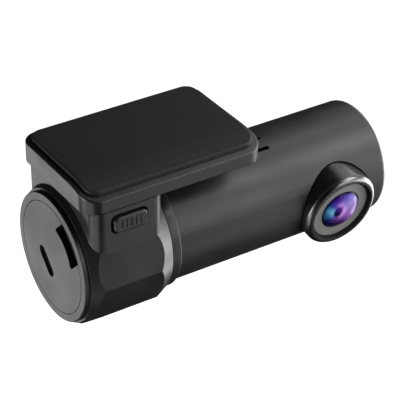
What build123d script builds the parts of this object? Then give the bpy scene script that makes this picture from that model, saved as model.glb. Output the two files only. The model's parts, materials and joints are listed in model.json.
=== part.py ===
from build123d import *
from math import cos, radians, sin, sqrt, tan
import os

# Millimetres. Every piece is drawn about the camera tube: its axis is the X axis, the end cap's
# outer face is x = 0, the lens looks towards -Y and the windscreen is above, towards +Z.
# save() then shifts it, so that the origin is the middle of the adhesive face.

# Camera tube
TUBE_RADIUS = 16.5
TUBE_END = 98.6
TUBE_WALL = 1.5
NECK_RADIUS = 15.6
NECK_WALL = 1.4
SHOULDER_X = 29.6
TUBE_END_ROUNDING = 1.5
TUBE_END_WALL = 1.7

# End cap and its inlaid cover
CAP_RADIUS = 18.0
CAP_THICKNESS = 1.3
CAP_EDGE_ROUNDING = 0.3
COVER_RADIUS = 15.6
COVER_THICKNESS = 0.6
COVER_GROOVE = 0.2
SPIGOT_END = 4.2
SPIGOT_WALL = 0.6
PLUG_END = 2.6

# Collar that traps the holder on the neck
COLLAR_RADIUS = 17.4
COLLAR_LENGTH = 3.0
COLLAR_ROUNDING = 0.4

# Holder: a faceted barrel around the neck and a block on top of it
HOLDER_START = 1.45
HOLDER_LENGTH = 25.0
BARREL_RADIUS = 20.3
BARREL_ANGLES = (-1.5, -31.5, -70.5, -109.5, -148.5, -178.5, 151.5, 121.5, 90.0, 58.5, 28.5)
BARREL_LEFT_RADIUS = 18.6
BARREL_RIGHT_RADIUS = 17.9
BARREL_END_SLOPE = 0.5
BLOCK_START = 3.0
BLOCK_LENGTH = 21.05
BLOCK_DEPTH = 36.0
BLOCK_TOP = 21.4
BLOCK_CORNER = 3.4
FRICTION_RING_WIDTH = 2.0
FRICTION_RING_HEIGHT = 1.2

# Mounting plate, its rail channel and the adhesive pad
PLATE_START = 1.24
PLATE_LENGTH = 53.56
PLATE_BOTTOM = 21.46
PLATE_TOP = 27.57
PLATE_CORNER = 4.8
PLATE_EDGE_ROUNDING = 0.5
DROP_START_Y = -8.0
DROP_HEIGHT = 2.5
PAD_THICKNESS = 1.33
PAD_INSET = 1.6
PAD_CORNER = 3.4
PAD_BEVEL = 0.35
RAIL_NECK = 14.0
RAIL_HEAD = 20.0
RAIL_NECK_TOP = 23.2
RAIL_HEAD_TOP = 25.0
RAIL_LENGTH = 18.6

# Lock button and its spring
BUTTON_MIDDLE_X = 13.4
BUTTON_WIDTH = 9.7
BUTTON_HEIGHT = 4.5
BUTTON_MIDDLE_Z = 17.15
BUTTON_CORNER = 1.3
BUTTON_PROUD = 1.0
BUTTON_DEPTH = 4.45
BUTTON_BEVEL = 0.35
BUTTON_TRAVEL = 1.3
STEM_WIDTH = 3.8
STEM_MIDDLE_Z = 17.7
STEM_HEIGHT = 1.8
PAWL_THICKNESS = 2.0
PAWL_TOP = 22.9
SPRING_RADIUS = 0.75
SPRING_WIRE = 0.25
SPRING_LENGTH = 4.0
SPRING_TURNS = 5
GRIP_GROOVES = 5
GRIP_PITCH = 1.35
GRIP_DEPTH = 0.25

# Lens nozzle, tilted down from the horizontal
LENS_X = 81.3
LENS_TILT = 10.4
NOZZLE_RADIUS = 11.6
NOZZLE_SIDE_END = 18.8
NOZZLE_MOUTH = 19.35
NOZZLE_BACK = 8.0
NOZZLE_BORE = 9.75
NOZZLE_WEB = 1.5
NOZZLE_GAP = 0.4
NOZZLE_LIP = 1.6
NOZZLE_LIP_RADIUS = 10.2
FLANGE_RADIUS = 13.3
FLANGE_THICKNESS = 1.5
SHADE_INNER = 9.05
SHADE_BACK = 16.9
SHADE_FRONT = 18.7
SHADE_STEP = 18.4
FACE_DISC_FRONT = 18.2
FACE_DISC_THICKNESS = 0.8
FRONT_LENS_RADIUS = 6.2
FRONT_LENS_SEAT = 18.15
FRONT_LENS_DOME = 2.5
FRONT_LENS_DEPTH = 1.4
BARREL_TUBE_RADIUS = 7.4
BARREL_TUBE_BORE = 6.1
BARREL_TUBE_BACK = 1.0
BARREL_TUBE_FRONT = 17.3
BARREL_TUBE_SHELF = 1.1
SENSOR_BOARD_FRONT = -4.0
SENSOR_BOARD_SIZE = 20.0
SENSOR_BOARD_THICKNESS = 1.0

# Ports on the end cap, on a line that leans forward from the tube's axis
PORT_LEAN = 44.0
USB_WIDTH = 9.0
USB_HEIGHT = 3.4
USB_OFFSET = -4.45
USB_OPENING_OFFSET = -4.15
USB_SHELL_WIDTH = 8.94
USB_SHELL_HEIGHT = 3.26
USB_SHELL_WALL = 0.3
USB_SHELL_LENGTH = 7.3
USB_BACK_WALL = 0.8
USB_SET_BACK = 0.15
CARD_SLOT_INNER = 10.5
CARD_SLOT_OUTER = 15.9
CARD_SLOT_HALF_WIDTH = 5.65
CARD_SLOT_CORNER = 0.6
CARD_WIDTH = 11.0
CARD_LENGTH = 15.0
CARD_THICKNESS = 0.7
CARD_BOTTOM = 11.3
CARD_START = 1.5

# Boards and the things on them
BOARD_TOP = -1.8
BOARD_THICKNESS = 1.0
BOARD_START = 6.0
BOARD_END = 66.0
BOARD_WIDTH = 25.6
CARD_BOARD_THICKNESS = 0.8
CARD_BOARD_WIDTH = 17.0
SOCKET_START = 4.6
SOCKET_WIDTH = 12.6
SOCKET_LENGTH = 14.0
SOCKET_TOP = 12.5
SCREW_RADIUS = 0.7
SCREW_HEAD_RADIUS = 1.3
SCREW_HEAD_HEIGHT = 0.9
SCREW_LENGTH = 3.4
SCREW_SPREAD = 11.2
SCREW_X = (24.5, 62.0)
CRADLE_START = 19.0
CRADLE_RIB = 2.0
CRADLE_RAIL_WIDTH = 2.4
CRADLE_RAIL_DEPTH = 3.2
CRADLE_ROOM_HALF = 6.5
CRADLE_ROOM_LOW = -11.0
CAPACITOR_RADIUS = 4.0
CAPACITOR_LENGTH = 20.0
CAPACITOR_START = 24.0
SPEAKER_RADIUS = 6.3
SPEAKER_THICKNESS = 3.2
SPEAKER_BOTTOM = 9.9
SPEAKER_X = 57.0
RIBBON_WIDTH = 8.0
RIBBON_THICKNESS = 0.2

# Slots in the tube's top
VENT_ANGLES = (3.2, 18.4)
VENT_START = 50.0
VENT_END = 65.3
VENT_WIDTH = 1.2

# Clearances
RUNNING_GAP = 0.05
SLIDING_GAP = 0.1
SEAT_GAP = 0.02
END_GAP = 0.1
BUTTON_GAP = 0.6
USB_GAP = 0.3

AXIS_TO_PAD = PLATE_TOP + SEAT_GAP + PAD_THICKNESS
PAD_MIDDLE_X = PLATE_START + PLATE_LENGTH / 2
DROP_END_Y = -BLOCK_DEPTH / 2
DROP_RUN = DROP_START_Y - DROP_END_Y
DROP_RADIUS = (DROP_RUN ** 2 + DROP_HEIGHT ** 2) / (2 * DROP_HEIGHT)
HOLDER_END = HOLDER_START + HOLDER_LENGTH
HOLDER_MIDDLE = HOLDER_START + HOLDER_LENGTH / 2
NECK_BORE = NECK_RADIUS - NECK_WALL
TUBE_BORE = TUBE_RADIUS - TUBE_WALL
BOARD_BOTTOM = BOARD_TOP - BOARD_THICKNESS
BUTTON_BACK_Y = -BLOCK_DEPTH / 2 - BUTTON_PROUD + BUTTON_DEPTH
PAWL_FRONT_Y = -(RAIL_NECK + SLIDING_GAP) / 2
PAWL_BACK_Y = PAWL_FRONT_Y + PAWL_THICKNESS

LOW = (Align.CENTER, Align.CENTER, Align.MIN)
LENS = Plane(
    origin=(LENS_X, 0, 0),
    x_dir=(1, 0, 0),
    z_dir=(0, -cos(radians(LENS_TILT)), -sin(radians(LENS_TILT))),
)
BOARDS = Plane(
    origin=(0, 0, 0),
    x_dir=(1, 0, 0),
    z_dir=(0, -cos(radians(PORT_LEAN)), sin(radians(PORT_LEAN))),
)


def rod(radius, start, end):
    """A cylinder along the tube's axis."""
    return Location((start, 0, 0), (0, 90, 0)) * Cylinder(radius, end - start, align=LOW)


def ring(outer, inner, start, end):
    return rod(outer, start, end) - rod(inner, start, end)


def lens_rod(radius, back, front):
    """A cylinder on the lens axis, between two distances from the tube's axis."""
    return LENS * Pos(0, 0, back) * Cylinder(radius, front - back, align=LOW)


def block(x0, x1, y0, y1, z0, z1):
    return Pos(x0, y0, z0) * Box(x1 - x0, y1 - y0, z1 - z0, align=(Align.MIN,) * 3)


def board_block(x0, x1, y0, y1, z0, z1):
    """A box in the boards' own leaning frame."""
    return BOARDS * block(x0, x1, y0, y1, z0, z1)


def turned(points):
    """A solid of revolution about the tube's axis from (x, radius) points."""
    outline = Polyline(*[(x, 0, radius) for x, radius in points], close=True)
    return revolve(make_face(outline), Axis.X)


def radial(x, angle):
    """A plane on the tube's axis that faces out at an angle forward of straight up."""
    lean = radians(angle)
    return Plane(origin=(x, 0, 0), x_dir=(1, 0, 0), z_dir=(0, -sin(lean), cos(lean)))


def long_slot(plane, start, end, width, low, high):
    middle = (start + end) / 2
    outline = SlotOverall(end - start, width)
    return plane * Pos(middle, 0, low) * extrude(outline, high - low)


def save(name, shape):
    shape = Pos(-PAD_MIDDLE_X, 0, -AXIS_TO_PAD) * shape
    shape.label = name
    export_step(shape, f"parts/{name}.step")


# Mounting plate and pad


def drop_profile(low, lift):
    """The plate's section: level at the back, curving down to the front edge."""
    back = BLOCK_DEPTH / 2
    top = PLATE_TOP + lift
    centre = top - DROP_RADIUS
    half = (DROP_START_Y + DROP_END_Y) / 2
    bulge = sqrt(DROP_RADIUS ** 2 - (half - DROP_START_Y) ** 2)
    curve = ThreePointArc(
        (0, DROP_START_Y, top),
        (0, half, centre + bulge),
        (0, DROP_END_Y, top - DROP_HEIGHT),
    )
    sides = Polyline(
        (0, DROP_END_Y, top - DROP_HEIGHT),
        (0, DROP_END_Y, low),
        (0, back, low),
        (0, back, top),
        (0, DROP_START_Y, top),
    )
    return make_face([curve, sides])


def rounded_plan(start, length, depth, corner, low, high):
    outline = RectangleRounded(length, depth, corner)
    return Pos(start + length / 2, 0, low) * extrude(outline, high - low)


def plate_outside():
    section = Pos(PLATE_START, 0, 0) * drop_profile(PLATE_BOTTOM, 0)
    bar = extrude(section, PLATE_LENGTH, dir=(1, 0, 0))
    plan = rounded_plan(
        PLATE_START, PLATE_LENGTH, BLOCK_DEPTH, PLATE_CORNER, PLATE_BOTTOM - 1, PLATE_TOP + 1
    )
    return bar & plan


def rail_section(gap, start, end):
    """The holder's rail, or with a gap the channel that it slides in."""
    neck = RAIL_NECK / 2 + gap
    head = RAIL_HEAD / 2 + gap
    foot = block(start, end, -neck, neck, BLOCK_TOP - 0.5, RAIL_NECK_TOP)
    top = block(start, end, -head, head, RAIL_NECK_TOP - gap, RAIL_HEAD_TOP + gap)
    return foot + top


def mount_plate():
    plate = plate_outside()
    rim = plate.edges().filter_by(lambda e: e.bounding_box().min.Z > PLATE_TOP - DROP_HEIGHT - 0.1)
    plate = fillet(rim, PLATE_EDGE_ROUNDING)
    return plate - rail_section(SLIDING_GAP, BLOCK_START, PLATE_START + PLATE_LENGTH + 1)


def adhesive_pad():
    start = PLATE_START + PAD_INSET
    length = PLATE_LENGTH - 2 * PAD_INSET
    section = Pos(start, 0, 0) * drop_profile(PLATE_BOTTOM, SEAT_GAP + PAD_THICKNESS)
    under = Pos(start, 0, 0) * drop_profile(PLATE_BOTTOM - 1, SEAT_GAP)
    bar = extrude(section, length, dir=(1, 0, 0)) - extrude(under, length, dir=(1, 0, 0))
    depth = BLOCK_DEPTH - 2 * PAD_INSET
    pad = bar & rounded_plan(start, length, depth, PAD_CORNER, PLATE_BOTTOM, PLATE_TOP + 3)
    top = pad.faces().filter_by(lambda f: f.normal_at().Z > 0.5)
    rim = [e for e in top.edges() if on_rim(e, start, length, depth)]
    return chamfer(rim, PAD_BEVEL)


def on_rim(edge, start, length, depth):
    """True for an edge that follows the outline and isn't a seam across the top."""
    box = edge.bounding_box()
    crosses = box.size.X > length / 2 and abs(edge.center().Y) < depth / 2 - 1
    return not crosses


# Holder


def barrel_outside():
    points = [
        (0, -BARREL_RADIUS * cos(radians(a)), BARREL_RADIUS * sin(radians(a)))
        for a in BARREL_ANGLES
    ]
    section = Pos(HOLDER_START, 0, 0) * make_face(Polyline(*points, close=True))
    prism = extrude(section, HOLDER_LENGTH, dir=(1, 0, 0))
    left_run = (BARREL_RADIUS - BARREL_LEFT_RADIUS) / BARREL_END_SLOPE
    right_run = (BARREL_RADIUS - BARREL_RIGHT_RADIUS) / BARREL_END_SLOPE
    cones = turned(
        [
            (HOLDER_START, 0),
            (HOLDER_START, BARREL_LEFT_RADIUS),
            (HOLDER_START + left_run, BARREL_RADIUS),
            (HOLDER_END - right_run, BARREL_RADIUS),
            (HOLDER_END, BARREL_RIGHT_RADIUS),
            (HOLDER_END, 0),
        ]
    )
    return prism & cones


def button_outline(gap):
    return RectangleRounded(BUTTON_WIDTH + 2 * gap, BUTTON_HEIGHT + 2 * gap, BUTTON_CORNER + gap)


def button_block(gap, y_front, y_back):
    face = Plane(origin=(BUTTON_MIDDLE_X, y_back, BUTTON_MIDDLE_Z), x_dir=(1, 0, 0), z_dir=(0, -1, 0))
    return face * extrude(button_outline(gap), y_back - y_front)


def stem_block(gap, y_back):
    half = STEM_WIDTH / 2 + gap
    low = STEM_MIDDLE_Z - STEM_HEIGHT / 2 - gap
    high = STEM_MIDDLE_Z + STEM_HEIGHT / 2 + gap
    return block(BUTTON_MIDDLE_X - half, BUTTON_MIDDLE_X + half, BUTTON_BACK_Y - 0.5, y_back, low, high)


def button_room():
    """The pocket for the button, its stem and its pawl, with room to be pressed."""
    pocket = button_block(BUTTON_GAP, -BLOCK_DEPTH / 2 - 2, BUTTON_BACK_Y + BUTTON_TRAVEL + END_GAP)
    tunnel = stem_block(SLIDING_GAP, PAWL_BACK_Y + SPRING_LENGTH + 2 * END_GAP)
    half = STEM_WIDTH / 2 + SLIDING_GAP
    shaft = block(
        BUTTON_MIDDLE_X - half,
        BUTTON_MIDDLE_X + half,
        PAWL_FRONT_Y - SLIDING_GAP,
        PAWL_BACK_Y + BUTTON_TRAVEL + END_GAP,
        STEM_MIDDLE_Z,
        RAIL_NECK_TOP,
    )
    return pocket + tunnel + shaft


def ring_groove(gap):
    half = FRICTION_RING_WIDTH / 2 + gap
    outer = NECK_RADIUS + RUNNING_GAP + FRICTION_RING_HEIGHT + gap
    return rod(outer, HOLDER_MIDDLE - half, HOLDER_MIDDLE + half)


def holder_body():
    body = rounded_plan(BLOCK_START, BLOCK_LENGTH, BLOCK_DEPTH, BLOCK_CORNER, 0, BLOCK_TOP)
    body = body + barrel_outside()
    body = body + rail_section(0, BLOCK_START + SLIDING_GAP, BLOCK_START + SLIDING_GAP + RAIL_LENGTH)
    body = body - rod(NECK_RADIUS + RUNNING_GAP, HOLDER_START - 1, HOLDER_END + 1)
    return body - ring_groove(SEAT_GAP) - button_room()


def friction_ring():
    return ring_groove(0) - rod(NECK_RADIUS + 0.6 * RUNNING_GAP, HOLDER_START, HOLDER_END)


def lock_button():
    front = -BLOCK_DEPTH / 2 - BUTTON_PROUD
    cap = button_block(0, front, BUTTON_BACK_Y)
    cap = chamfer(cap.faces().sort_by(Axis.Y)[0].edges(), BUTTON_BEVEL)
    stem = stem_block(0, PAWL_BACK_Y)
    half = STEM_WIDTH / 2
    pawl = block(
        BUTTON_MIDDLE_X - half,
        BUTTON_MIDDLE_X + half,
        PAWL_FRONT_Y,
        PAWL_BACK_Y,
        STEM_MIDDLE_Z - STEM_HEIGHT / 2,
        PAWL_TOP,
    )
    return cap + stem + pawl - grip_grooves(front)


def grip_grooves(front):
    """A row of short upright grooves that a fingertip feels."""
    grooves = Part()
    for i in range(GRIP_GROOVES):
        x = BUTTON_MIDDLE_X + (i - (GRIP_GROOVES - 1) / 2) * GRIP_PITCH
        half_height = BUTTON_HEIGHT / 2 - BUTTON_BEVEL - 0.6
        grooves += block(
            x - 0.2,
            x + 0.2,
            front - 1,
            front + GRIP_DEPTH,
            BUTTON_MIDDLE_Z - half_height,
            BUTTON_MIDDLE_Z + half_height,
        )
    return grooves


def lock_spring():
    radius = SPRING_RADIUS - SPRING_WIRE / 2
    height = SPRING_LENGTH - SPRING_WIRE - 0.1
    path = Helix(pitch=height / SPRING_TURNS, height=height, radius=radius)
    wire_section = Plane(origin=path @ 0, z_dir=path % 0) * Circle(SPRING_WIRE / 2)
    coil = sweep(wire_section, path=path, is_frenet=True)
    start = PAWL_BACK_Y + SPRING_WIRE / 2 + 0.05
    return Location((BUTTON_MIDDLE_X, start, STEM_MIDDLE_Z), (-90, 0, 0)) * coil


# Camera tube and the pieces at its ends


def vent_slots():
    slots = Part()
    for angle in VENT_ANGLES:
        slots += long_slot(
            radial(0, angle), VENT_START, VENT_END, VENT_WIDTH, TUBE_BORE - 1, TUBE_RADIUS + 1
        )
    return slots


def tube_shell():
    neck = rod(NECK_RADIUS, CAP_THICKNESS + SEAT_GAP, SHOULDER_X + 1)
    barrel = rod(TUBE_RADIUS, SHOULDER_X, TUBE_END)
    barrel = fillet(barrel.faces().sort_by(Axis.X)[-1].edges(), TUBE_END_ROUNDING)
    shell = neck + barrel
    shell = shell - rod(NECK_BORE, 0, SHOULDER_X + TUBE_WALL)
    shell = shell - rod(TUBE_BORE, SHOULDER_X + TUBE_WALL, TUBE_END - TUBE_END_WALL)
    hole = lens_rod(NOZZLE_RADIUS + NOZZLE_GAP, NOZZLE_BACK, TUBE_RADIUS + 1)
    return shell - hole - vent_slots()


def collar_ring():
    start = SHOULDER_X - SEAT_GAP - COLLAR_LENGTH
    collar = rod(COLLAR_RADIUS, start, start + COLLAR_LENGTH)
    collar = fillet(collar.edges().filter_by(GeomType.CIRCLE), COLLAR_ROUNDING)
    return collar - rod(NECK_RADIUS + SEAT_GAP, start - 1, SHOULDER_X + 1)


def usb_bar(width, height, offset, start, end):
    """A bar with the round-ended section of the socket, lying along the tube."""
    face = Plane(origin=(start, 0, 0), x_dir=(0, 1, 0), z_dir=(1, 0, 0))
    outline = Pos(-offset, 0) * Rot(0, 0, 90) * SlotOverall(width, height)
    return face * Rot(0, 0, -PORT_LEAN) * extrude(outline, end - start)


def usb_opening(gap, start, end):
    return usb_bar(USB_WIDTH + 2 * gap, USB_HEIGHT + 2 * gap, USB_OPENING_OFFSET, start, end)


def card_opening(start, end):
    """A square-ended piece of a ring, just wider than the memory card, over the card's socket."""
    half = CARD_SLOT_HALF_WIDTH
    band = board_block(start, end, -half, half, 0, CARD_SLOT_OUTER + 1)
    opening = ring(CARD_SLOT_OUTER, CARD_SLOT_INNER, start, end) & band
    return fillet(opening.edges().filter_by(Axis.X), CARD_SLOT_CORNER)


def end_cap():
    disc = rod(CAP_RADIUS, 0, CAP_THICKNESS)
    disc = fillet(disc.faces().sort_by(Axis.X)[0].edges(), CAP_EDGE_ROUNDING)
    plug = rod(NECK_BORE - SLIDING_GAP, CAP_THICKNESS, PLUG_END)
    spigot = ring(
        NECK_BORE - SLIDING_GAP, NECK_BORE - SLIDING_GAP - SPIGOT_WALL, PLUG_END, SPIGOT_END
    )
    cap = disc + plug + spigot
    cap = cap - rod(COVER_RADIUS + COVER_GROOVE, -1, COVER_THICKNESS + SEAT_GAP)
    cap = cap - usb_opening(USB_GAP, -1, SPIGOT_END)
    return cap - card_opening(-1, PLUG_END + 0.5)


def end_cover():
    cover = rod(COVER_RADIUS, 0, COVER_THICKNESS)
    cover = cover - usb_opening(0, -1, COVER_THICKNESS + 1)
    return cover - card_opening(-1, COVER_THICKNESS + 1)


# Lens and its nozzle


def nozzle_outside():
    """The turned outside: a straight side and a rim that rises to the mouth, let into the tube."""
    outline = Polyline(
        (0, 0, NOZZLE_BACK),
        (NOZZLE_RADIUS, 0, NOZZLE_BACK),
        (NOZZLE_RADIUS, 0, NOZZLE_SIDE_END),
        (NOZZLE_LIP_RADIUS, 0, NOZZLE_MOUTH),
        (0, 0, NOZZLE_MOUTH),
        close=True,
    )
    body = revolve(make_face(outline), Axis.Z)
    rim = body.edges().filter_by_position(Axis.Z, NOZZLE_SIDE_END - 0.01, NOZZLE_SIDE_END + 0.01)
    body = LENS * fillet(rim, NOZZLE_LIP)
    flange = lens_rod(FLANGE_RADIUS, NOZZLE_BACK, TUBE_RADIUS)
    inside = rod(TUBE_BORE - SEAT_GAP, 0, TUBE_END)
    core = rod(TUBE_BORE - SEAT_GAP - FLANGE_THICKNESS, 0, TUBE_END)
    return body + (flange & inside) - (core - lens_rod(NOZZLE_RADIUS, NOZZLE_BACK, TUBE_RADIUS))


def lens_nozzle():
    body = nozzle_outside()
    body = body - lens_rod(NOZZLE_BORE, NOZZLE_BACK + NOZZLE_WEB, NOZZLE_MOUTH + 1)
    return body - lens_rod(BARREL_TUBE_RADIUS + SEAT_GAP, NOZZLE_BACK - 1, NOZZLE_MOUTH)


def shade_ring():
    """A stepped black ring between the nozzle's mouth and the face disc."""
    outer = lens_rod(NOZZLE_BORE - SEAT_GAP, SHADE_BACK, SHADE_FRONT)
    step = lens_rod((NOZZLE_BORE + SHADE_INNER) / 2, SHADE_STEP, SHADE_FRONT + 1)
    return outer - step - lens_rod(SHADE_INNER, SHADE_BACK - 1, SHADE_FRONT + 1)


def face_disc():
    back = FACE_DISC_FRONT - FACE_DISC_THICKNESS
    disc = lens_rod(SHADE_INNER - SEAT_GAP, back, FACE_DISC_FRONT)
    return disc - lens_rod(FRONT_LENS_RADIUS + 0.1, back - 1, FACE_DISC_FRONT + 1)


def dome(radius, height, seat):
    """A cap of a sphere standing on the lens axis."""
    sphere = (radius ** 2 + height ** 2) / (2 * height)
    ball = LENS * Pos(0, 0, seat + height - sphere) * Sphere(sphere)
    return ball & lens_rod(radius, seat, seat + height + 1)


def front_lens():
    edge = lens_rod(FRONT_LENS_RADIUS, BARREL_TUBE_FRONT - FRONT_LENS_DEPTH, FRONT_LENS_SEAT)
    hollow = LENS * Pos(0, 0, BARREL_TUBE_FRONT - 4.0) * Sphere(4.2)
    return edge + dome(FRONT_LENS_RADIUS, FRONT_LENS_DOME, FRONT_LENS_SEAT) - hollow


def lens_barrel():
    outside = lens_rod(BARREL_TUBE_RADIUS, BARREL_TUBE_BACK, BARREL_TUBE_FRONT)
    shelf = BARREL_TUBE_FRONT - FRONT_LENS_DEPTH
    seat = lens_rod(FRONT_LENS_RADIUS + SEAT_GAP, shelf, BARREL_TUBE_FRONT + 1)
    bore = lens_rod(BARREL_TUBE_BORE - BARREL_TUBE_SHELF, BARREL_TUBE_BACK - 1, BARREL_TUBE_FRONT + 1)
    return outside - seat - bore


def iris_ring():
    front = 11.0
    return lens_rod(4.95, front - 0.4, front) - lens_rod(2.0, front - 1, front + 1)


def second_lens():
    body = lens_rod(4.95, 7.0, 9.2)
    bulge = LENS * Pos(0, 0, 10.4 - 9.0) * Sphere(9.0)
    return body + (bulge & lens_rod(4.0, 9.2, 11.0))


def rear_lens():
    body = lens_rod(4.95, 3.2, 5.4)
    return body - LENS * Pos(0, 0, 12.6) * Sphere(8.0)


def lens_seat():
    """The square foot that holds the lens barrel over the image sensor."""
    front = BARREL_TUBE_BACK + 5.0
    foot = LENS * Pos(0, 0, SENSOR_BOARD_FRONT + SEAT_GAP) * Box(17.0, 17.0, 4.0, align=LOW)
    collar = lens_rod(BARREL_TUBE_RADIUS + 1.2, SENSOR_BOARD_FRONT + 1, front)
    room = LENS * Pos(0, 0, SENSOR_BOARD_FRONT - 1) * Box(11.0, 11.0, 4.2, align=LOW)
    bore = lens_rod(BARREL_TUBE_RADIUS + SEAT_GAP, BARREL_TUBE_BACK - 0.02, front + 1)
    way = lens_rod(4.6, SENSOR_BOARD_FRONT, front)
    return foot + collar - room - bore - way


def infrared_filter():
    low = BARREL_TUBE_BACK - 1.0 - 0.6
    return LENS * Pos(0, 0, low - 0.9) * Box(10.0, 10.0, 0.6, align=LOW)


def image_sensor():
    chip = LENS * Pos(0, 0, SENSOR_BOARD_FRONT + SEAT_GAP) * Box(9.0, 8.4, 1.3, align=LOW)
    window = LENS * Pos(0, 0, SENSOR_BOARD_FRONT + 1.2) * Box(6.4, 4.6, 1.0, align=LOW)
    return chip - window


def sensor_board():
    board = RectangleRounded(SENSOR_BOARD_SIZE, SENSOR_BOARD_SIZE, 1.5)
    low = SENSOR_BOARD_FRONT - SENSOR_BOARD_THICKNESS
    return LENS * Pos(0, 0, low) * extrude(board, SENSOR_BOARD_THICKNESS)


# Boards and what is on them


def screw_spots():
    return [(x, side * SCREW_SPREAD) for x in SCREW_X for side in (-1, 1)]


def main_board():
    half = BOARD_WIDTH / 2
    board = board_block(BOARD_START, BOARD_END, -half, half, BOARD_BOTTOM, BOARD_TOP)
    for x, y in screw_spots():
        board -= BOARDS * Pos(x, y, BOARD_BOTTOM) * Cylinder(SCREW_RADIUS + 0.1, 4)
    return board


def board_screws():
    screws = Part()
    for x, y in screw_spots():
        head = Pos(x, y, BOARD_TOP) * Cylinder(SCREW_HEAD_RADIUS, SCREW_HEAD_HEIGHT, align=LOW)
        shank = Pos(x, y, BOARD_TOP - SCREW_LENGTH) * Cylinder(SCREW_RADIUS, SCREW_LENGTH, align=LOW)
        socket = Pos(x, y, BOARD_TOP + 0.5) * Box(1.6, 0.35, 1)
        cross = Pos(x, y, BOARD_TOP + 0.5) * Box(0.35, 1.6, 1)
        slot = (socket + cross) & (Pos(x, y, BOARD_TOP + 0.5) * Cylinder(2, 2, align=LOW))
        screws += BOARDS * (head + shank - slot)
    return screws


def board_cradle():
    """Two rails under the main board, tied by ribs that rest in the tube."""
    top = BOARD_BOTTOM - SEAT_GAP
    outer = SCREW_SPREAD + CRADLE_RAIL_WIDTH / 2
    inner = SCREW_SPREAD - CRADLE_RAIL_WIDTH / 2
    cradle = Part()
    for side in (-1, 1):
        y0, y1 = sorted((side * inner, side * outer))
        cradle += board_block(CRADLE_START, BOARD_END, y0, y1, top - CRADLE_RAIL_DEPTH, top)
    room = board_block(0, TUBE_END, -CRADLE_ROOM_HALF, CRADLE_ROOM_HALF, CRADLE_ROOM_LOW, top + 1)
    for start in (CRADLE_START, 47.0, BOARD_END - CRADLE_RIB):
        rib = ring(NECK_BORE - SLIDING_GAP, 4.0, start, start + CRADLE_RIB)
        rib = rib & board_block(0, TUBE_END, -TUBE_RADIUS, TUBE_RADIUS, -TUBE_RADIUS, top)
        cradle += rib - room
    for x, y in screw_spots():
        cradle -= BOARDS * Pos(x, y, BOARD_BOTTOM) * Cylinder(SCREW_RADIUS + SEAT_GAP, 9)
    return cradle


def usb_socket():
    start = COVER_THICKNESS + USB_SET_BACK
    end = start + USB_SHELL_LENGTH
    shell = usb_bar(USB_SHELL_WIDTH, USB_SHELL_HEIGHT, USB_OFFSET, start, end)
    wall = 2 * USB_SHELL_WALL
    back = end - USB_BACK_WALL
    bore = usb_bar(USB_SHELL_WIDTH - wall, USB_SHELL_HEIGHT - wall, USB_OFFSET, start - 1, back)
    return shell - bore


def usb_tongue():
    start = COVER_THICKNESS + 1.2
    end = COVER_THICKNESS + USB_SET_BACK + USB_SHELL_LENGTH - USB_BACK_WALL - SEAT_GAP
    return board_block(start, end, -3.3, 3.3, USB_OFFSET - 0.35, USB_OFFSET + 0.35)


def memory_card():
    half = CARD_WIDTH / 2
    card = board_block(
        CARD_START, CARD_START + CARD_LENGTH, -half, half, CARD_BOTTOM, CARD_BOTTOM + CARD_THICKNESS
    )
    notch_x = CARD_START + CARD_LENGTH
    card -= board_block(notch_x - 8.5, notch_x + 1, half - 1.2, half + 1, CARD_BOTTOM - 1, 15)
    ridge = board_block(CARD_START, CARD_START + 1.4, -half, half, CARD_BOTTOM, CARD_BOTTOM + 0.95)
    return card + ridge


def card_socket():
    half = SOCKET_WIDTH / 2
    low = CARD_BOTTOM - 0.4
    socket = board_block(SOCKET_START, SOCKET_START + SOCKET_LENGTH, -half, half, low, SOCKET_TOP)
    room = CARD_WIDTH / 2 + 0.12
    cavity = board_block(
        SOCKET_START - 1,
        CARD_START + CARD_LENGTH + 0.6,
        -room,
        room,
        CARD_BOTTOM - 0.1,
        CARD_BOTTOM + CARD_THICKNESS + 0.12,
    )
    window = board_block(SOCKET_START + 3, SOCKET_START + 9, -3, 3, SOCKET_TOP - 0.6, SOCKET_TOP + 1)
    return socket - cavity - window


def card_board():
    top = CARD_BOTTOM - 0.4 - SEAT_GAP
    half = CARD_BOARD_WIDTH / 2
    end = SOCKET_START + SOCKET_LENGTH + 5
    return board_block(SOCKET_START + 0.4, end, -half, half, top - CARD_BOARD_THICKNESS, top)


def board_link():
    """The post connector between the two boards."""
    top = CARD_BOTTOM - 0.4 - CARD_BOARD_THICKNESS - 2 * SEAT_GAP
    x0 = SOCKET_START + SOCKET_LENGTH + 1
    return board_block(x0, x0 + 2.6, -5.5, 5.5, BOARD_TOP + SEAT_GAP, top)


def on_board(x0, x1, y0, y1, height):
    return board_block(x0, x1, y0, y1, BOARD_TOP + SEAT_GAP, BOARD_TOP + SEAT_GAP + height)


def under_board(x0, x1, y0, y1, height):
    return board_block(x0, x1, y0, y1, BOARD_BOTTOM - SEAT_GAP - height, BOARD_BOTTOM - SEAT_GAP)


def main_processor():
    return on_board(27.5, 39.5, -6.0, 6.0, 1.2)


def heat_spreader():
    low = BOARD_TOP + 2 * SEAT_GAP + 1.2
    plate = board_block(26.5, 40.5, -7.0, 7.0, low, low + 0.8)
    for i in range(5):
        y = -6.0 + 3.0 * i
        plate += board_block(26.5, 40.5, y - 0.4, y + 0.4, low + 0.8, low + 3.2)
    return plate


def memory_chip():
    return on_board(43.0, 50.0, -4.5, 4.5, 1.0)


def radio_module():
    return on_board(52.5, 60.0, -6.0, 6.0, 1.8)


def power_coil():
    can = BOARDS * Pos(12.0, -6.5, BOARD_TOP + SEAT_GAP) * Cylinder(2.6, 2.4, align=LOW)
    base = on_board(9.0, 15.0, -9.5, -3.5, 0.5)
    return base + can


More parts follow.
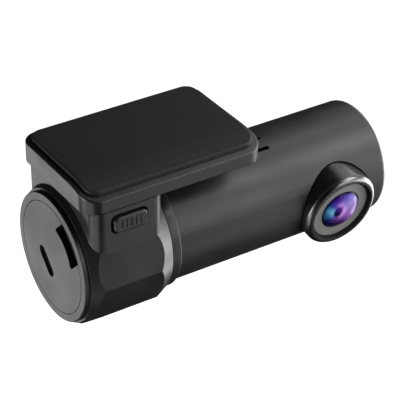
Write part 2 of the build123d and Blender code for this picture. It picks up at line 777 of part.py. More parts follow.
def capacitor(side):
    """One of the two that keep the camera alive while it closes its last file."""
    y = side * (CAPACITOR_RADIUS + 0.3)
    z = BOARD_BOTTOM - CAPACITOR_RADIUS - 0.15
    body = Location((CAPACITOR_START, y, z), (0, 90, 0)) * Cylinder(
        CAPACITOR_RADIUS, CAPACITOR_LENGTH, align=LOW
    )
    return BOARDS * fillet(body.edges().filter_by(GeomType.CIRCLE), 0.5)


def speaker():
    plane = radial(SPEAKER_X, sum(VENT_ANGLES) / 2)
    can = Pos(0, 0, SPEAKER_BOTTOM) * Cylinder(SPEAKER_RADIUS, SPEAKER_THICKNESS - 0.8, align=LOW)
    rim = Pos(0, 0, SPEAKER_BOTTOM + SPEAKER_THICKNESS - 0.8) * (
        Cylinder(SPEAKER_RADIUS, 0.8, align=LOW) - Cylinder(SPEAKER_RADIUS - 0.8, 0.8, align=LOW)
    )
    return plane * (can + rim)


def speaker_cone():
    plane = radial(SPEAKER_X, sum(VENT_ANGLES) / 2)
    low = SPEAKER_BOTTOM + SPEAKER_THICKNESS - 0.8 + SEAT_GAP
    return plane * Pos(0, 0, low) * Cylinder(SPEAKER_RADIUS - 0.9, 0.3, align=LOW)


def microphone():
    plane = radial(47.5, VENT_ANGLES[1])
    return plane * Pos(0, 0, 13.3) * Box(3.8, 3.0, 1.1, align=LOW)


def antenna_strip():
    """A thin metal strip curved to the inside of the tube."""
    strip = ring(TUBE_BORE - 0.1, TUBE_BORE - 0.4, 69.0 - 34.0, 41.0)
    return strip & block(0, TUBE_END, 4.0, TUBE_RADIUS, 3.0, TUBE_RADIUS)


def sensor_ribbon():
    """The flat ribbon from the main board's end to the sensor board, twisting on its way."""
    lean = radians(PORT_LEAN)
    start = Plane(
        origin=BOARDS.from_local_coords((BOARD_END + SEAT_GAP, 0, BOARD_TOP - BOARD_THICKNESS / 2)),
        x_dir=(0, sin(lean), cos(lean)),
        z_dir=(1, 0, 0),
    )
    tilt = radians(LENS_TILT)
    middle = LENS.from_local_coords((0, 0, SENSOR_BOARD_FRONT - SENSOR_BOARD_THICKNESS / 2))
    end = Plane(
        origin=(LENS_X - SENSOR_BOARD_SIZE / 2 - SEAT_GAP, middle.Y, middle.Z),
        x_dir=(0, -sin(tilt), cos(tilt)),
        z_dir=(1, 0, 0),
    )
    flat = Rectangle(RIBBON_WIDTH, RIBBON_THICKNESS)
    return loft([start * flat, end * flat], ruled=True)


def pieces():
    return {
        "mount_plate": mount_plate(),
        "adhesive_pad": adhesive_pad(),
        "holder_body": holder_body(),
        "friction_ring": friction_ring(),
        "lock_button": lock_button(),
        "lock_spring": lock_spring(),
        "tube_shell": tube_shell(),
        "collar_ring": collar_ring(),
        "end_cap": end_cap(),
        "end_cover": end_cover(),
        "lens_nozzle": lens_nozzle(),
        "shade_ring": shade_ring(),
        "face_disc": face_disc(),
        "front_lens": front_lens(),
        "lens_barrel": lens_barrel(),
        "iris_ring": iris_ring(),
        "second_lens": second_lens(),
        "rear_lens": rear_lens(),
        "lens_seat": lens_seat(),
        "infrared_filter": infrared_filter(),
        "image_sensor": image_sensor(),
        "sensor_board": sensor_board(),
        "sensor_ribbon": sensor_ribbon(),
        "main_board": main_board(),
        "board_cradle": board_cradle(),
        "board_screws": board_screws(),
        "main_processor": main_processor(),
        "heat_spreader": heat_spreader(),
        "memory_chip": memory_chip(),
        "radio_module": radio_module(),
        "antenna_strip": antenna_strip(),
        "power_coil": power_coil(),
        "capacitor_front": capacitor(-1),
        "capacitor_back": capacitor(1),
        "speaker_can": speaker(),
        "speaker_cone": speaker_cone(),
        "microphone": microphone(),
        "usb_socket": usb_socket(),
        "usb_tongue": usb_tongue(),
        "card_board": card_board(),
        "card_socket": card_socket(),
        "board_link": board_link(),
        "memory_card": memory_card(),
    }


def main():
    os.makedirs("parts", exist_ok=True)
    for name, shape in pieces().items():
        save(name, shape)


if __name__ == "__main__":
    main()
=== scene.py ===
import json
import math

import bmesh
import bpy
from bpy.props import FloatProperty, FloatVectorProperty, PointerProperty
from mathutils import Matrix, Vector


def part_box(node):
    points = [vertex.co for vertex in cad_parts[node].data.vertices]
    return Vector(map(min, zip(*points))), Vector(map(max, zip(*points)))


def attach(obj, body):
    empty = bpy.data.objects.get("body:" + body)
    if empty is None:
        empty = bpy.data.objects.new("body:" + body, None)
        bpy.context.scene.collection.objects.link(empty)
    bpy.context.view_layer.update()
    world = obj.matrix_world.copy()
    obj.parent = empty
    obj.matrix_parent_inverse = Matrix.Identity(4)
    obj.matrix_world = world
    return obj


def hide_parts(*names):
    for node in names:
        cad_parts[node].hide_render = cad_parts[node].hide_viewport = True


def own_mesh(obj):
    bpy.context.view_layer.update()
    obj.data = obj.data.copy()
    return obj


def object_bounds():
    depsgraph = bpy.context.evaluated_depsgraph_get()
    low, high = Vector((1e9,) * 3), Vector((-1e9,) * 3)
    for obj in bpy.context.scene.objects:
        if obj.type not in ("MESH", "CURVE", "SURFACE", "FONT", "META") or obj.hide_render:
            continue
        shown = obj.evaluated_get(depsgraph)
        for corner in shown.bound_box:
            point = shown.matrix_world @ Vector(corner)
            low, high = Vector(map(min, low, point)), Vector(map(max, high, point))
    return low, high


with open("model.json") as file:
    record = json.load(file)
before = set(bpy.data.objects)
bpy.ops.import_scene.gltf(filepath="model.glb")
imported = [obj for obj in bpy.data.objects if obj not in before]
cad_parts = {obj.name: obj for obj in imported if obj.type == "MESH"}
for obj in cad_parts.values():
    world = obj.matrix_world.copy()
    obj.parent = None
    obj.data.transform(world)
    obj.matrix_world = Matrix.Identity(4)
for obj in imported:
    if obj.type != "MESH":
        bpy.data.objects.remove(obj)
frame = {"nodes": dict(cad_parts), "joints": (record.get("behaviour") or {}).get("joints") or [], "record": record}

bl_info = {
    "name": "Dash camera",
    "version": (1, 0, 0),
    "blender": (4, 5, 0),
    "location": "3D View > Sidebar > Dash camera",
    "description": "Finishes the pieces of a tube-shaped dash camera and sets its studio",
    "category": "Object",
}

CAD_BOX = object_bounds()
MM = 0.001


def joint(name):
    return next(j for j in frame["joints"] if j["name"] == name)


# The tube's axis and the lens's own axis, which looks along -Y and a little down
AXIS_Z = joint("camera_turn")["pos_m"][2]
LENS_TILT = math.radians(10.4)
LENS_LOOK = Vector((0, -math.cos(LENS_TILT), -math.sin(LENS_TILT)))
LENS_UP = Vector((0, -math.sin(LENS_TILT), math.cos(LENS_TILT)))
LENS_RADIUS_MM = (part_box("front_lens")[1].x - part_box("front_lens")[0].x) / 2 / MM
LENS_ORIGIN = Vector((sum(corner.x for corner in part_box("lens_nozzle")) / 2, 0, AXIS_Z))
# Where the nozzle's rounded rim starts, from the tube's axis, and the radius of its lip; the painted rim highlight
# lies ahead of the one and outside the other
RIM_START_MM = 17.9
RIM_INNER_MM = 10.3
# How far the painted pattern of coating reflections is off the lens's own middle, across and up
PUPIL_SHIFT_MM = (3.1, -2.0)


# Colours and nodes


def linear(code):
    """An sRGB hex colour as a linear RGBA tuple."""
    channels = [int(code[i : i + 2], 16) / 255 for i in (1, 3, 5)]
    return tuple(
        c / 12.92 if c <= 0.04045 else ((c + 0.055) / 1.055) ** 2.4 for c in channels
    ) + (1.0,)


def set_inputs(tree, node, inputs):
    """Joins each input of a node to an output, or gives it a value."""
    for socket, value in inputs.items():
        if isinstance(value, bpy.types.NodeSocket):
            tree.links.new(value, node.inputs[socket])
        else:
            node.inputs[socket].default_value = value


def add_node(tree, kind, inputs=None, **settings):
    """Adds a node with its settings and its inputs."""
    node = tree.nodes.new(kind)
    for name, value in settings.items():
        setattr(node, name, value)
    set_inputs(tree, node, inputs or {})
    return node


def new_material(name):
    material = bpy.data.materials.new(name)
    material.use_nodes = True
    tree = material.node_tree
    tree.nodes.clear()
    shader = add_node(tree, "ShaderNodeBsdfPrincipled")
    add_node(tree, "ShaderNodeOutputMaterial", {0: shader.outputs[0]})
    return material, tree, shader


def object_noise(tree, size_mm, detail=2.0, stretch=(1, 1, 1)):
    """Noise whose lumps are a real size in millimetres."""
    place = add_node(tree, "ShaderNodeTexCoord").outputs["Object"]
    scaled = add_node(tree, "ShaderNodeMapping", {"Vector": place, "Scale": stretch})
    noise = add_node(
        tree,
        "ShaderNodeTexNoise",
        {"Vector": scaled.outputs[0], "Scale": 1 / (size_mm * MM), "Detail": detail},
    )
    return noise.outputs[0]


def two_tone(tree, patches, colour, worn):
    """A colour that drifts between two hex colours with the patches."""
    amount = add_node(tree, "ShaderNodeMapRange", {0: patches, 1: 0.35, 2: 0.65})
    colours = {0: amount.outputs[0], 6: linear(colour), 7: linear(worn)}
    return add_node(tree, "ShaderNodeMix", colours, data_type="RGBA").outputs[2]


def uneven_gloss(tree, patches, smooth, rough, start=0.35, end=0.65):
    """A roughness that drifts between two values with the patches."""
    ends = {0: patches, 1: start, 2: end, 3: smooth, 4: rough}
    return add_node(tree, "ShaderNodeMapRange", ends).outputs[0]


def fine_relief(tree, marks, depth_mm, strength):
    """The surface's own grain, as a bump of a real depth."""
    relief = {"Height": marks, "Strength": strength, "Distance": depth_mm * MM}
    return add_node(tree, "ShaderNodeBump", relief).outputs[0]


# Materials, each named for what it is and how its surface was made


def moulded_plastic(name, colour, worn, roughness):
    """Plastic from a spark-textured mould: a dull sheen, faint handling patches, a fine even grain."""
    material, tree, shader = new_material(name)
    patches = object_noise(tree, 14.0, 3.0)
    grain = object_noise(tree, 0.45, 1.0)
    surface = {
        "Base Color": two_tone(tree, patches, colour, worn),
        "Roughness": uneven_gloss(tree, patches, roughness - 0.04, roughness + 0.05),
        "IOR": 1.5,
        "Normal": fine_relief(tree, grain, 0.006, 0.5),
    }
    set_inputs(tree, shader, surface)
    return material


def foam_tape(name, colour, worn):
    """Closed-cell foam tape: dead matte, with open cells at its surface."""
    material, tree, shader = new_material(name)
    cells = object_noise(tree, 0.7, 3.0)
    patches = object_noise(tree, 18.0, 2.0)
    surface = {
        "Base Color": two_tone(tree, patches, colour, worn),
        "Roughness": uneven_gloss(tree, cells, 0.62, 0.74),
        "IOR": 1.45,
        "Normal": fine_relief(tree, cells, 0.012, 0.6),
    }
    set_inputs(tree, shader, surface)
    return material


def anodised_metal(name, colour, worn, roughness, coat=0.0):
    """Turned aluminium, anodised: satin, with very fine turning marks."""
    material, tree, shader = new_material(name)
    marks = object_noise(tree, 0.5, 2.0)
    patches = object_noise(tree, 9.0, 2.0)
    surface = {
        "Base Color": two_tone(tree, patches, colour, worn),
        "Roughness": uneven_gloss(tree, patches, roughness - 0.03, roughness + 0.04),
        "IOR": 1.6,
        "Coat Weight": coat,
        "Coat Roughness": 0.2,
        "Normal": fine_relief(tree, marks, 0.003, 0.4),
    }
    set_inputs(tree, shader, surface)
    return material


def painted_rim_highlight(material, highlight_grey):
    """Paints the nozzle's rim, outside its lip, a lighter metallic grey: a painted highlight for the sheen on the
    rim's rounding.
    """
    tree = material.node_tree
    shader = next(node for node in tree.nodes if node.type == "BSDF_PRINCIPLED")
    anodised = shader.inputs["Base Color"].links[0].from_socket
    across, up, out = lens_place(tree)
    radius = share_of(tree, across, up, RIM_INNER_MM)
    ahead = add_node(tree, "ShaderNodeMapRange", {0: out, 1: RIM_START_MM, 2: RIM_START_MM + 0.5})
    outside = add_node(tree, "ShaderNodeMapRange", {0: radius, 1: 1.0, 2: 1.02})
    rim_highlight = add_node(
        tree,
        "ShaderNodeMath",
        {0: ahead.outputs[0], 1: outside.outputs[0]},
        operation="MULTIPLY",
    ).outputs[0]
    # The rim's lighter metallic grey is a painted highlight
    colours = {0: rim_highlight, 6: anodised, 7: linear(highlight_grey)}
    tint = add_node(tree, "ShaderNodeMix", colours, data_type="RGBA").outputs[2]
    set_inputs(tree, shader, {"Base Color": tint, "Metallic": rim_highlight})


def bare_metal(name, colour, worn, roughness, grain=(1, 1, 1)):
    """Rolled or drawn metal: a soft grain along one way, roughness that varies with it."""
    material, tree, shader = new_material(name)
    marks = object_noise(tree, 0.4, 2.0, grain)
    surface = {
        "Base Color": two_tone(tree, marks, colour, worn),
        "Roughness": uneven_gloss(tree, marks, roughness - 0.06, roughness + 0.08),
        "Metallic": 1.0,
        "Normal": fine_relief(tree, marks, 0.004, 0.4),
    }
    set_inputs(tree, shader, surface)
    return material


def clear_glass(name, colour):
    """Polished optical glass with a faint bloom of dust."""
    material, tree, shader = new_material(name)
    dust = object_noise(tree, 1.2, 3.0)
    surface = {
        "Base Color": linear(colour),
        "Roughness": uneven_gloss(tree, dust, 0.02, 0.07, 0.5, 0.75),
        "Transmission Weight": 1.0,
        "IOR": 1.52,
    }
    set_inputs(tree, shader, surface)
    return material


def lens_place(tree):
    """Position in the lens's own frame: X across, Y up and Z out, in millimetres."""
    place = add_node(tree, "ShaderNodeTexCoord").outputs["Object"]
    moved = add_node(
        tree, "ShaderNodeVectorMath", {0: place, 1: LENS_ORIGIN}, operation="SUBTRACT"
    ).outputs[0]
    parts = []
    for direction in (Vector((1, 0, 0)), LENS_UP, LENS_LOOK):
        along = {0: moved, 1: direction / MM}
        dot = add_node(tree, "ShaderNodeVectorMath", along, operation="DOT_PRODUCT")
        parts.append(dot.outputs["Value"])
    return parts


def share_of(tree, across, up, radius):
    """How far out a point on the lens is, from 0 in the middle to 1 at a radius."""
    flat = add_node(tree, "ShaderNodeCombineXYZ", {0: across, 1: up}).outputs[0]
    reach = add_node(tree, "ShaderNodeVectorMath", {0: flat}, operation="LENGTH").outputs["Value"]
    return add_node(tree, "ShaderNodeMath", {0: reach, 1: radius}, operation="DIVIDE").outputs[0]


def set_stops(ramp, stops):
    """Gives a colour ramp its (position, hex colour) pairs."""
    elements = ramp.color_ramp.elements
    while len(elements) < len(stops):
        elements.new(0.5)
    for element, (position, colour) in zip(elements, stops):
        element.position = position
    for element, (position, colour) in zip(elements, stops):
        element.color = linear(colour)


# The coating's reflections, painted as colours round the lens, from the left through the bottom, the right and the
# top
PAINTED_REFLECTION_OUTSIDE = [
    (0.0, "#3f86c0"),
    (0.08, "#0a1a5c"),
    (0.17, "#12083f"),
    (0.25, "#30104a"),
    (0.33, "#4a1c70"),
    (0.41, "#8a5cae"),
    (0.5, "#8a6cb0"),
    (0.58, "#8474b8"),
    (0.66, "#6c60c8"),
    (0.74, "#4c22a0"),
    (0.83, "#4a1a98"),
    (0.89, "#2c4cb0"),
    (0.95, "#5fb4e4"),
    (1.0, "#3f86c0"),
]
# Painted reflections in a ring round the dark middle, round the lens the same way
PAINTED_REFLECTION_RING = [
    (0.0, "#8ad0f4"),
    (0.12, "#4a62c8"),
    (0.25, "#7a3c98"),
    (0.36, "#d08ae0"),
    (0.5, "#d8a7fa"),
    (0.62, "#a884e8"),
    (0.72, "#c890f0"),
    (0.85, "#6a50c8"),
    (0.94, "#7cc8f0"),
    (1.0, "#8ad0f4"),
]
# The dark middle: painted shade of the iris seen through the glass, with painted purple reflections in it
PAINTED_PUPIL_SHADE_AND_REFLECTION = [(0.0, "#0a2850"), (0.3, "#180a3a"), (0.55, "#5a1c8a"), (0.75, "#4a2090"), (1.0, "#0a2850")]
# A thin pale circle of painted glint, from the middle of the lens outwards
PAINTED_GLINT = [(0.0, "#000000"), (0.56, "#000000"), (0.62, "#9090a0"), (0.68, "#101018"), (1.0, "#000000")]


def lens_painted_reflections(name):
    """Front element with a broad-band coating over a dark barrel, its colours painted: the coating's reflections
    painted cyan on one side and violet on the other, the dark iris in the middle as painted shade with a ring of
    painted reflection round it, a thin painted glint further out, and the colour darker towards the edge."""
    material, tree, shader = new_material(name)
    across, up, out = lens_place(tree)
    share = share_of(tree, across, up, LENS_RADIUS_MM)
    squared = add_node(tree, "ShaderNodeMath", {0: share, 1: share}, operation="MULTIPLY").outputs[0]
    pull = add_node(tree, "ShaderNodeMath", {0: 1.0, 1: squared}, operation="SUBTRACT").outputs[0]
    across = add_node(
        tree, "ShaderNodeMath", {0: pull, 1: PUPIL_SHIFT_MM[0], 2: across}, operation="MULTIPLY_ADD"
    ).outputs[0]
    up = add_node(
        tree, "ShaderNodeMath", {0: pull, 1: PUPIL_SHIFT_MM[1], 2: up}, operation="MULTIPLY_ADD"
    ).outputs[0]
    angle = add_node(tree, "ShaderNodeMath", {0: up, 1: across}, operation="ARCTAN2").outputs[0]
    turn = add_node(
        tree, "ShaderNodeMath", {0: angle, 1: 0.5 / math.pi, 2: 0.5}, operation="MULTIPLY_ADD"
    ).outputs[0]
    reach = share_of(tree, across, up, LENS_RADIUS_MM)
    colours = []
    for factor, stops in ((turn, PAINTED_PUPIL_SHADE_AND_REFLECTION), (turn, PAINTED_REFLECTION_RING), (turn, PAINTED_REFLECTION_OUTSIDE), (reach, PAINTED_GLINT)):
        ramp = add_node(tree, "ShaderNodeValToRGB", {0: factor})
        set_stops(ramp, stops)
        colours.append(ramp.outputs[0])
    painted_pupil, ring, outside, painted_glint = colours
    to_ring = add_node(tree, "ShaderNodeMapRange", {0: reach, 1: 0.2, 2: 0.33}).outputs[0]
    to_outside = add_node(tree, "ShaderNodeMapRange", {0: reach, 1: 0.38, 2: 0.6}).outputs[0]
    to_edge = add_node(tree, "ShaderNodeMapRange", {0: share, 1: 0.86, 2: 0.98}).outputs[0]
    # Painted reflection ring, painted reflections further out, a faint painted glint, and the colour darker
    # towards the edge
    layers = (
        (to_ring, ring, "MIX"),
        (to_outside, outside, "MIX"),
        (0.15, painted_glint, "SCREEN"),
        (to_edge, linear("#0a0812"), "MIX"),
    )
    colour = painted_pupil
    for factor, layer, blend in layers:
        both = {0: factor, 6: colour, 7: layer}
        mix = add_node(tree, "ShaderNodeMix", both, data_type="RGBA", blend_type=blend)
        colour = mix.outputs[2]
    surface = {
        "Base Color": colour,
        "Roughness": uneven_gloss(tree, object_noise(tree, 2.5, 2.0), 0.05, 0.1),
        "IOR": 1.5,
        "Specular IOR Level": 0.06,
    }
    set_inputs(tree, shader, surface)
    return material


# Meshes


def finish_mesh(name, work, body, material, replaced, smooth_angle=30):
    """Turns a bmesh into a piece that rides on a body in place of CAD nodes."""
    mesh = bpy.data.meshes.new(name)
    work.to_mesh(mesh)
    work.free()
    piece = bpy.data.objects.new(name, mesh)
    bpy.context.scene.collection.objects.link(piece)
    mesh.materials.append(material)
    mesh.shade_smooth()
    mesh.set_sharp_from_angle(angle=math.radians(smooth_angle))
    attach(piece, body)
    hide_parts(*replaced)
    return piece


def merged_copy(node):
    """A CAD node's triangles joined up, with flat faces made whole again."""
    work = bmesh.new()
    work.from_mesh(frame["nodes"][node].data)
    bmesh.ops.remove_doubles(work, verts=work.verts, dist=1e-6)
    bmesh.ops.dissolve_limit(
        work, angle_limit=math.radians(0.3), verts=work.verts, edges=work.edges
    )
    return work


def soft_edges(piece, width, segments=3, angle=30):
    """Rounds a piece's corners as a mould or a tumbler leaves them."""
    bevel = piece.modifiers.new("Edge rounding", "BEVEL")
    bevel.width = width
    bevel.segments = segments
    bevel.limit_method = "ANGLE"
    bevel.angle_limit = math.radians(angle)
    bevel.use_clamp_overlap = True
    bevel.harden_normals = False
    weighted = piece.modifiers.new("Even shading", "WEIGHTED_NORMAL")
    weighted.keep_sharp = True
    return piece


def body_of(node):
    bodies = frame["record"]["behaviour"]["bodies"]
    return next(body for body, nodes in bodies.items() if node in nodes)


def slot_of(node):
    subparts = frame["record"]["subparts"]
    return next(s["material_slot"] for s in subparts if s["node"] == node)


def finished_node(node, material, rounding, segments=3, angle=30, smooth=30):
    """A visible CAD piece with its corners rounded and its finish on."""
    piece = finish_mesh(
        node + "_finished", merged_copy(node), body_of(node), material, [node], smooth
    )
    if rounding:
        soft_edges(piece, rounding, segments, angle)
    return piece


def paint_node(node, material):
    """Gives a CAD node that stays as it is its own finish."""
    mesh = frame["nodes"][node].data
    mesh.materials.clear()
    mesh.materials.append(material)


# Settings a user would change


def length_setting(name, about, default_mm):
    return FloatProperty(
        name=name,
        description=about,
        default=default_mm * MM,
        min=0,
        unit="LENGTH",
        subtype="DISTANCE",
    )


class DashcamEdges(bpy.types.PropertyGroup):
    """How far each group of pieces has its corners rounded."""

    plate: length_setting("Plate", "Rounding of the mounting plate's edges", 0.25)
    pad: length_setting("Pad", "Rounding of the adhesive pad's edges", 0.12)
    holder: length_setting("Holder", "Rounding of the holder's facets", 0.3)
    button: length_setting("Button", "Rounding of the lock button's edges", 0.15)
    tube: length_setting("Tube", "Rounding of the edges of the tube's openings", 0.12)


class DashcamView(bpy.types.PropertyGroup):
    """Where the camera that takes the picture stands."""

    azimuth: FloatProperty(
        name="Azimuth",
        description="Turn around the object, from looking along +Y",
        default=math.radians(-33.18),
        unit="ROTATION",
        subtype="ANGLE",
    )
    elevation: FloatProperty(
        name="Elevation",
        description="Height above the horizon",
        default=math.radians(32.85),
        unit="ROTATION",
        subtype="ANGLE",
    )
    roll: FloatProperty(
        name="Roll",
        description="Tilt of the picture",
        default=math.radians(0.617),
        unit="ROTATION",
        subtype="ANGLE",
    )
    distance: length_setting("Distance", "From the camera to the aim point", 430.0)
    lens: FloatProperty(
        name="Lens",
        description="Focal length in millimetres on a 36 mm sensor",
        default=147.9,
        min=1,
        subtype="NONE",
    )
    aim: FloatVectorProperty(
        name="Aim",
        description="Point that the camera looks at",
        default=(8.46 * MM, -15.06 * MM, -15.28 * MM),
        size=3,
        unit="LENGTH",
        subtype="XYZ",
    )


class DashcamLight(bpy.types.PropertyGroup):
    """The studio's soft boxes and its fill."""

    strength: FloatProperty(
        name="Strength", description="Brightness of every soft box together", default=1.0, min=0
    )
    width: length_setting("Width", "Side of each square soft box", 360.0)
    distance: length_setting("Distance", "From each soft box to the object", 700.0)
    fill: FloatProperty(name="Fill", description="Dim light from all round", default=0.01, min=0)


# Operators, one for each piece or group of like pieces


class DASHCAM_OT_plate(bpy.types.Operator):
    """Finish the mounting plate and its adhesive pad"""

    bl_idname = "dashcam.plate"
    bl_label = "Plate and pad"

    def execute(self, context):
        edges = context.scene.dashcam_edges
        plate = moulded_plastic("ABS moulded satin black", "#1d1e1f", "#222324", 0.34)
        pad = foam_tape("Acrylic foam tape black", "#131314", "#18181a")
        finished_node("mount_plate", plate, edges.plate)
        finished_node("adhesive_pad", pad, edges.pad)
        return {"FINISHED"}


class DASHCAM_OT_holder(bpy.types.Operator):
    """Finish the faceted holder"""

    bl_idname = "dashcam.holder"
    bl_label = "Holder"

    def execute(self, context):
        edges = context.scene.dashcam_edges
        shell = moulded_plastic("ABS moulded spark texture black", "#1e1f20", "#232425", 0.36)
        finished_node("holder_body", shell, edges.holder, angle=20, smooth=15)
        return {"FINISHED"}


class DASHCAM_OT_button(bpy.types.Operator):
    """Finish the lock button and its spring"""

    bl_idname = "dashcam.button"
    bl_label = "Lock button"

    def execute(self, context):
        edges = context.scene.dashcam_edges
        shell = moulded_plastic("ABS moulded button black", "#1c1d1f", "#252628", 0.36)
        finished_node("lock_button", shell, edges.button)
        wire = bare_metal("Steel drawn spring wire", "#a8a9ad", "#8f9095", 0.28, (1, 8, 1))
        spring = finished_node("lock_spring", wire, 0)
        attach(spring, "holder")
        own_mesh(spring)
        return {"FINISHED"}


class DASHCAM_OT_tube(bpy.types.Operator):
    """Finish the camera tube and its collar"""

    bl_idname = "dashcam.tube"
    bl_label = "Tube and collar"

    def execute(self, context):
        edges = context.scene.dashcam_edges
        shell = moulded_plastic("ABS moulded soft satin black", "#202122", "#262728", 0.40)
        finished_node("tube_shell", shell, edges.tube)
        finished_node("collar_ring", shell, 0)
        return {"FINISHED"}


class DASHCAM_OT_end_cap(bpy.types.Operator):
    """Finish the end cap and its cover"""

    bl_idname = "dashcam.end_cap"
    bl_label = "End cap"

    def execute(self, context):
        edges = context.scene.dashcam_edges
        shell = moulded_plastic("ABS moulded port cover black", "#222324", "#28292a", 0.38)
        finished_node("end_cap", shell, edges.tube)
        finished_node("end_cover", shell, edges.tube)
        return {"FINISHED"}


class DASHCAM_OT_nozzle(bpy.types.Operator):
    """Finish the lens nozzle, the shade ring and the face disc"""

    bl_idname = "dashcam.nozzle"
    bl_label = "Nozzle"

    def execute(self, context):
        edges = context.scene.dashcam_edges
        satin = anodised_metal("Aluminium turned black anodised, painted rim highlight", "#191a1b", "#202122", 0.28, 0.2)
        # The rim gets a painted highlight: a lighter metallic grey
        painted_rim_highlight(satin, "#686869")
        # The ring is black, and darker still as painted shade for the recess between the face disc and the rim
        black_with_painted_shade = moulded_plastic("Polycarbonate moulded black with painted shade", "#040405", "#070708", 0.85)
        grey = anodised_metal("Aluminium blasted grey anodised", "#7c7a78", "#848280", 0.5)
        finished_node("lens_nozzle", satin, edges.tube)
        finished_node("shade_ring", black_with_painted_shade, 0)
        finished_node("face_disc", grey, 0)
        return {"FINISHED"}


class DASHCAM_OT_front_lens(bpy.types.Operator):
    """Finish the front lens"""

    bl_idname = "dashcam.front_lens"
    bl_label = "Front lens"

    def execute(self, context):
        # The front lens's colours are painted reflections and painted shade
        finished_node("front_lens", lens_painted_reflections("Optical glass polished, painted coating reflections"), 0)
        return {"FINISHED"}


class DASHCAM_OT_inside(bpy.types.Operator):
    """Give each piece inside its finish"""

    bl_idname = "dashcam.inside"
    bl_label = "Inside"

    def execute(self, context):
        finishes = inside_finishes()
        for node in frame["nodes"]:
            name = slot_of(node)
            if name in finishes and not frame["nodes"][node].hide_render:
                paint_node(node, finishes[name])
        return {"FINISHED"}


def inside_finishes():
    """One finish for each material slot of the pieces that stay as the CAD made them."""
    steel = bare_metal("Steel tinned sheet", "#b4b5b8", "#9fa0a4", 0.32)
    return {
        "friction_rubber": moulded_plastic("Rubber moulded black", "#121212", "#181818", 0.75),
        "shade_black": moulded_plastic("Polycarbonate moulded black", "#0c0c0d", "#111113", 0.55),
        "inner_glass": clear_glass("Optical glass polished clear", "#e8f0ff"),
        "filter_glass": clear_glass("Filter glass cyan", "#a8dede"),
        "sensor_chip": moulded_plastic("Silicon under window", "#101c18", "#1c2a30", 0.12),
        "circuit_board": moulded_plastic("Solder mask screened green", "#0f4a28", "#145a32", 0.35),
        "ribbon_film": moulded_plastic("Polyimide film amber", "#a0641c", "#8c5414", 0.25),
        "cradle_plastic": moulded_plastic("ABS moulded grey", "#7c7d80", "#747578", 0.5),
        "screw_steel": bare_metal("Steel zinc plated", "#a4a6ac", "#8c8f96", 0.35),
        "chip_black": moulded_plastic("Epoxy moulded chip black", "#161617", "#1d1d1f", 0.5),
        "heat_aluminium": bare_metal("Aluminium extruded", "#c4c6ca", "#b0b2b8", 0.4, (8, 1, 1)),
        "shield_steel": steel,
        "socket_steel": bare_metal("Steel stamped bright", "#bcbdc0", "#a6a8ac", 0.26),
        "antenna_brass": bare_metal("Brass strip plated", "#d0a860", "#b89048", 0.3),
        "capacitor_sleeve": moulded_plastic("PVC shrink sleeve blue", "#101c48", "#16245a", 0.25),
        "speaker_paper": moulded_plastic("Paper cone pressed black", "#1c1b1a", "#242322", 0.85),
        "link_plastic": moulded_plastic("Nylon moulded cream", "#c8bfa4", "#beb496", 0.45),
        "card_plastic": moulded_plastic("Epoxy moulded card black", "#141416", "#1c1c1f", 0.4),
    }


class DASHCAM_OT_stage(bpy.types.Operator):
    """Set the floor, the lights and the camera"""

    bl_idname = "dashcam.stage"
    bl_label = "Stage"

    def execute(self, context):
        make_floor()
        make_sky(context.scene.dashcam_light.fill)
        make_lights(context.scene.dashcam_light)
        make_camera(context.scene.dashcam_view)
        context.scene.view_settings.view_transform = "Standard"
        return {"FINISHED"}


def make_floor():
    """A pale floor well below the camera and the lowest soft boxes."""
    work = bmesh.new()
    bmesh.ops.create_grid(work, x_segments=8, y_segments=8, size=6.0)
    bmesh.ops.translate(work, verts=work.verts, vec=(0, 0, CAD_BOX[0].z - 0.6))
    mesh = bpy.data.meshes.new("floor")
    work.to_mesh(mesh)
    work.free()
    floor = bpy.data.objects.new("floor", mesh)
    bpy.context.scene.collection.objects.link(floor)
    material, tree, shader = new_material("Studio paper white")
    fibres = object_noise(tree, 40.0, 3.0)
    tint = two_tone(tree, fibres, "#fbfbfb", "#ffffff")
    surface = {
        "Base Color": tint,
        "Roughness": 0.9,
        "Emission Color": tint,
        "Emission Strength": 1.0,
    }
    set_inputs(tree, shader, surface)
    mesh.materials.append(material)
    floor.visible_glossy = False
    floor.visible_diffuse = False


def make_sky(strength):
    """Plain white where the camera sees it, and only a dim fill where it lights the object."""
    world = bpy.data.worlds.new("Studio")
    world.use_nodes = True
    tree = world.node_tree
    tree.nodes.clear()
    paths = add_node(tree, "ShaderNodeLightPath")
    seen = add_node(tree, "ShaderNodeBackground", {"Color": linear("#ffffff"), "Strength": 1.0})
    fill = add_node(tree, "ShaderNodeBackground", {"Color": linear("#f4f7ff"), "Strength": strength})
    both = add_node(
        tree,
        "ShaderNodeMixShader",
        {0: paths.outputs["Is Camera Ray"], 1: fill.outputs[0], 2: seen.outputs[0]},
    )
    add_node(tree, "ShaderNodeOutputWorld", {0: both.outputs[0]})
    bpy.context.scene.world = world


# Each soft box's name, azimuth from +X, elevation and power in watts. The low ones put a sheen on
# the upright faces and the nozzle's rim, and the high ones light the tube.
SOFT_BOXES = (
    ("key_high", 330, 40, 2.5),
    ("key_front", 300, 15, 1.4),
    ("key_level", 330, -10, 2.0),
    ("front_low", 300, -30, 0.4),
    ("right_level", 0, -10, 3.5),
    ("right_low", 0, -30, 1.6),
    ("right_high", 15, 50, 0.9),
    ("back_level", 30, 15, 1.0),
    ("back_low", 120, -30, 0.7),
    ("left_level", 180, -10, 4.0),
    ("left_low", 215, -40, 0.8),
)


def make_lights(light):
    for name, azimuth, elevation, power in SOFT_BOXES:
        make_softbox(name, math.radians(azimuth), math.radians(elevation), power, light)


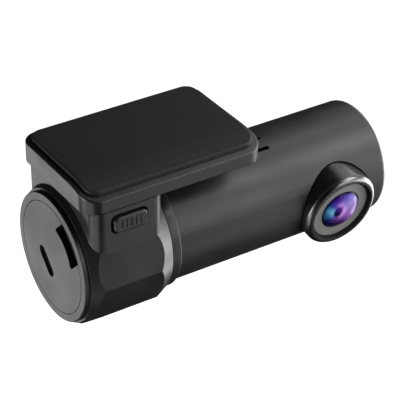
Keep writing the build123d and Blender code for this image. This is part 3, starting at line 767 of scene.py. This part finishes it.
def make_softbox(name, azimuth, elevation, power, light):
    """A square area light that faces the middle of the object."""
    middle = (CAD_BOX[0] + CAD_BOX[1]) / 2
    data = bpy.data.lights.new(name, "AREA")
    data.shape = "SQUARE"
    data.size = light.width
    data.energy = power * light.strength
    lamp = bpy.data.objects.new(name, data)
    flat = math.cos(elevation)
    way = Vector((math.cos(azimuth) * flat, math.sin(azimuth) * flat, math.sin(elevation)))
    lamp.location = middle + way * light.distance
    lamp.rotation_euler = way.to_track_quat("Z", "Y").to_euler()
    lamp.visible_camera = False
    bpy.context.scene.collection.objects.link(lamp)


def make_camera(view):
    data = bpy.data.cameras.new("camera")
    data.lens = view.lens
    data.sensor_width = 36.0
    data.clip_start = 0.01
    data.clip_end = 50.0
    camera = bpy.data.objects.new("camera", data)
    back = Vector(
        (
            math.sin(view.azimuth) * math.cos(view.elevation),
            -math.cos(view.azimuth) * math.cos(view.elevation),
            math.sin(view.elevation),
        )
    )
    camera.location = Vector(view.aim) + back * view.distance
    look = (-back).to_track_quat("-Z", "Y").to_matrix().to_4x4()
    camera.rotation_euler = (look @ Matrix.Rotation(view.roll, 4, "Z")).to_euler()
    bpy.context.scene.collection.objects.link(camera)
    bpy.context.scene.camera = camera


class DASHCAM_PT_panel(bpy.types.Panel):
    """The dash camera's pieces and settings"""

    bl_idname = "DASHCAM_PT_panel"
    bl_label = "Dash camera"
    bl_space_type = "VIEW_3D"
    bl_region_type = "UI"
    bl_category = "Dash camera"

    def draw(self, context):
        for operator in OPERATORS:
            self.layout.operator(operator.bl_idname)
        for group in ("dashcam_edges", "dashcam_view", "dashcam_light"):
            settings = getattr(context.scene, group)
            box = self.layout.box()
            for name in settings.bl_rna.properties.keys():
                if name not in ("rna_type", "name"):
                    box.prop(settings, name)


OPERATORS = (
    DASHCAM_OT_plate,
    DASHCAM_OT_holder,
    DASHCAM_OT_button,
    DASHCAM_OT_tube,
    DASHCAM_OT_end_cap,
    DASHCAM_OT_nozzle,
    DASHCAM_OT_front_lens,
    DASHCAM_OT_inside,
    DASHCAM_OT_stage,
)
SETTINGS = {"dashcam_edges": DashcamEdges, "dashcam_view": DashcamView, "dashcam_light": DashcamLight}


def register():
    for group in SETTINGS.values():
        bpy.utils.register_class(group)
    for operator in OPERATORS:
        bpy.utils.register_class(operator)
    bpy.utils.register_class(DASHCAM_PT_panel)
    for name, group in SETTINGS.items():
        setattr(bpy.types.Scene, name, PointerProperty(type=group))


def unregister():
    for name in SETTINGS:
        delattr(bpy.types.Scene, name)
    bpy.utils.unregister_class(DASHCAM_PT_panel)
    for kind in reversed(OPERATORS + tuple(SETTINGS.values())):
        bpy.utils.unregister_class(kind)


def main():
    register()
    for operator in OPERATORS:
        area, call = operator.bl_idname.split(".")
        getattr(getattr(bpy.ops, area), call)()


if __name__ == "__main__":
    main()
